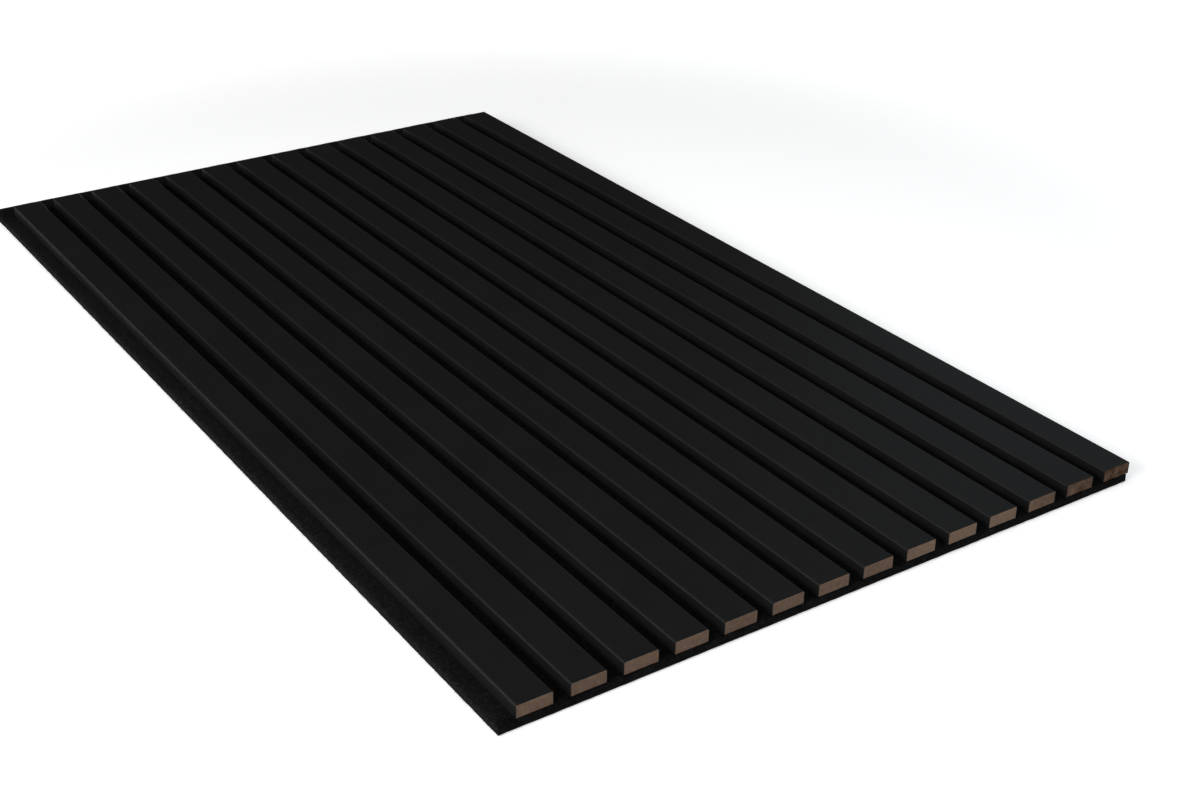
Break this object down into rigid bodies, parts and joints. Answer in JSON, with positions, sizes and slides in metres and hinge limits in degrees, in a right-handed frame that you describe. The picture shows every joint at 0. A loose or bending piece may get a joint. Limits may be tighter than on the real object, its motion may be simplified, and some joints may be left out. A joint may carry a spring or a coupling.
{
  "type": "slatted acoustic wall panel",
  "caption": "Flat wall panel of parallel black-faced wooden slats on a felt backing, with open grooves between the slats that let sound through to the felt.",
  "frame": {"origin": "centre of the felt's back face, the face that goes against the wall", "axes": "+X across the slats towards the edge where the last slat overhangs the felt, +Y along the slats, +Z out of the wall, towards the faces of the slats"},
  "size_m": [0.5604, 0.987, 0.017],
  "materials": {
    "felt": "needled felt",
    "mdf": "sawn board edge",
    "black_foil": "satin with a fine grain",
    "staple_wire": "galvanised"
  },
  "bodies": {
    "root": {"felt_backing": "felt", "slat_core_01": "mdf", "slat_core_02": "mdf", "slat_core_03": "mdf", "slat_core_04": "mdf", "slat_core_05": "mdf", "slat_core_06": "mdf", "slat_core_07": "mdf", "slat_core_08": "mdf", "slat_core_09": "mdf", "slat_core_10": "mdf", "slat_core_11": "mdf", "slat_core_12": "mdf", "slat_core_13": "mdf", "slat_core_14": "mdf", "slat_foil_01": "black_foil", "slat_foil_02": "black_foil", "slat_foil_03": "black_foil", "slat_foil_04": "black_foil", "slat_foil_05": "black_foil", "slat_foil_06": "black_foil", "slat_foil_07": "black_foil", "slat_foil_08": "black_foil", "slat_foil_09": "black_foil", "slat_foil_10": "black_foil", "slat_foil_11": "black_foil", "slat_foil_12": "black_foil", "slat_foil_13": "black_foil", "slat_foil_14": "black_foil", "staples": "staple_wire"}
  },
  "joints": []
}
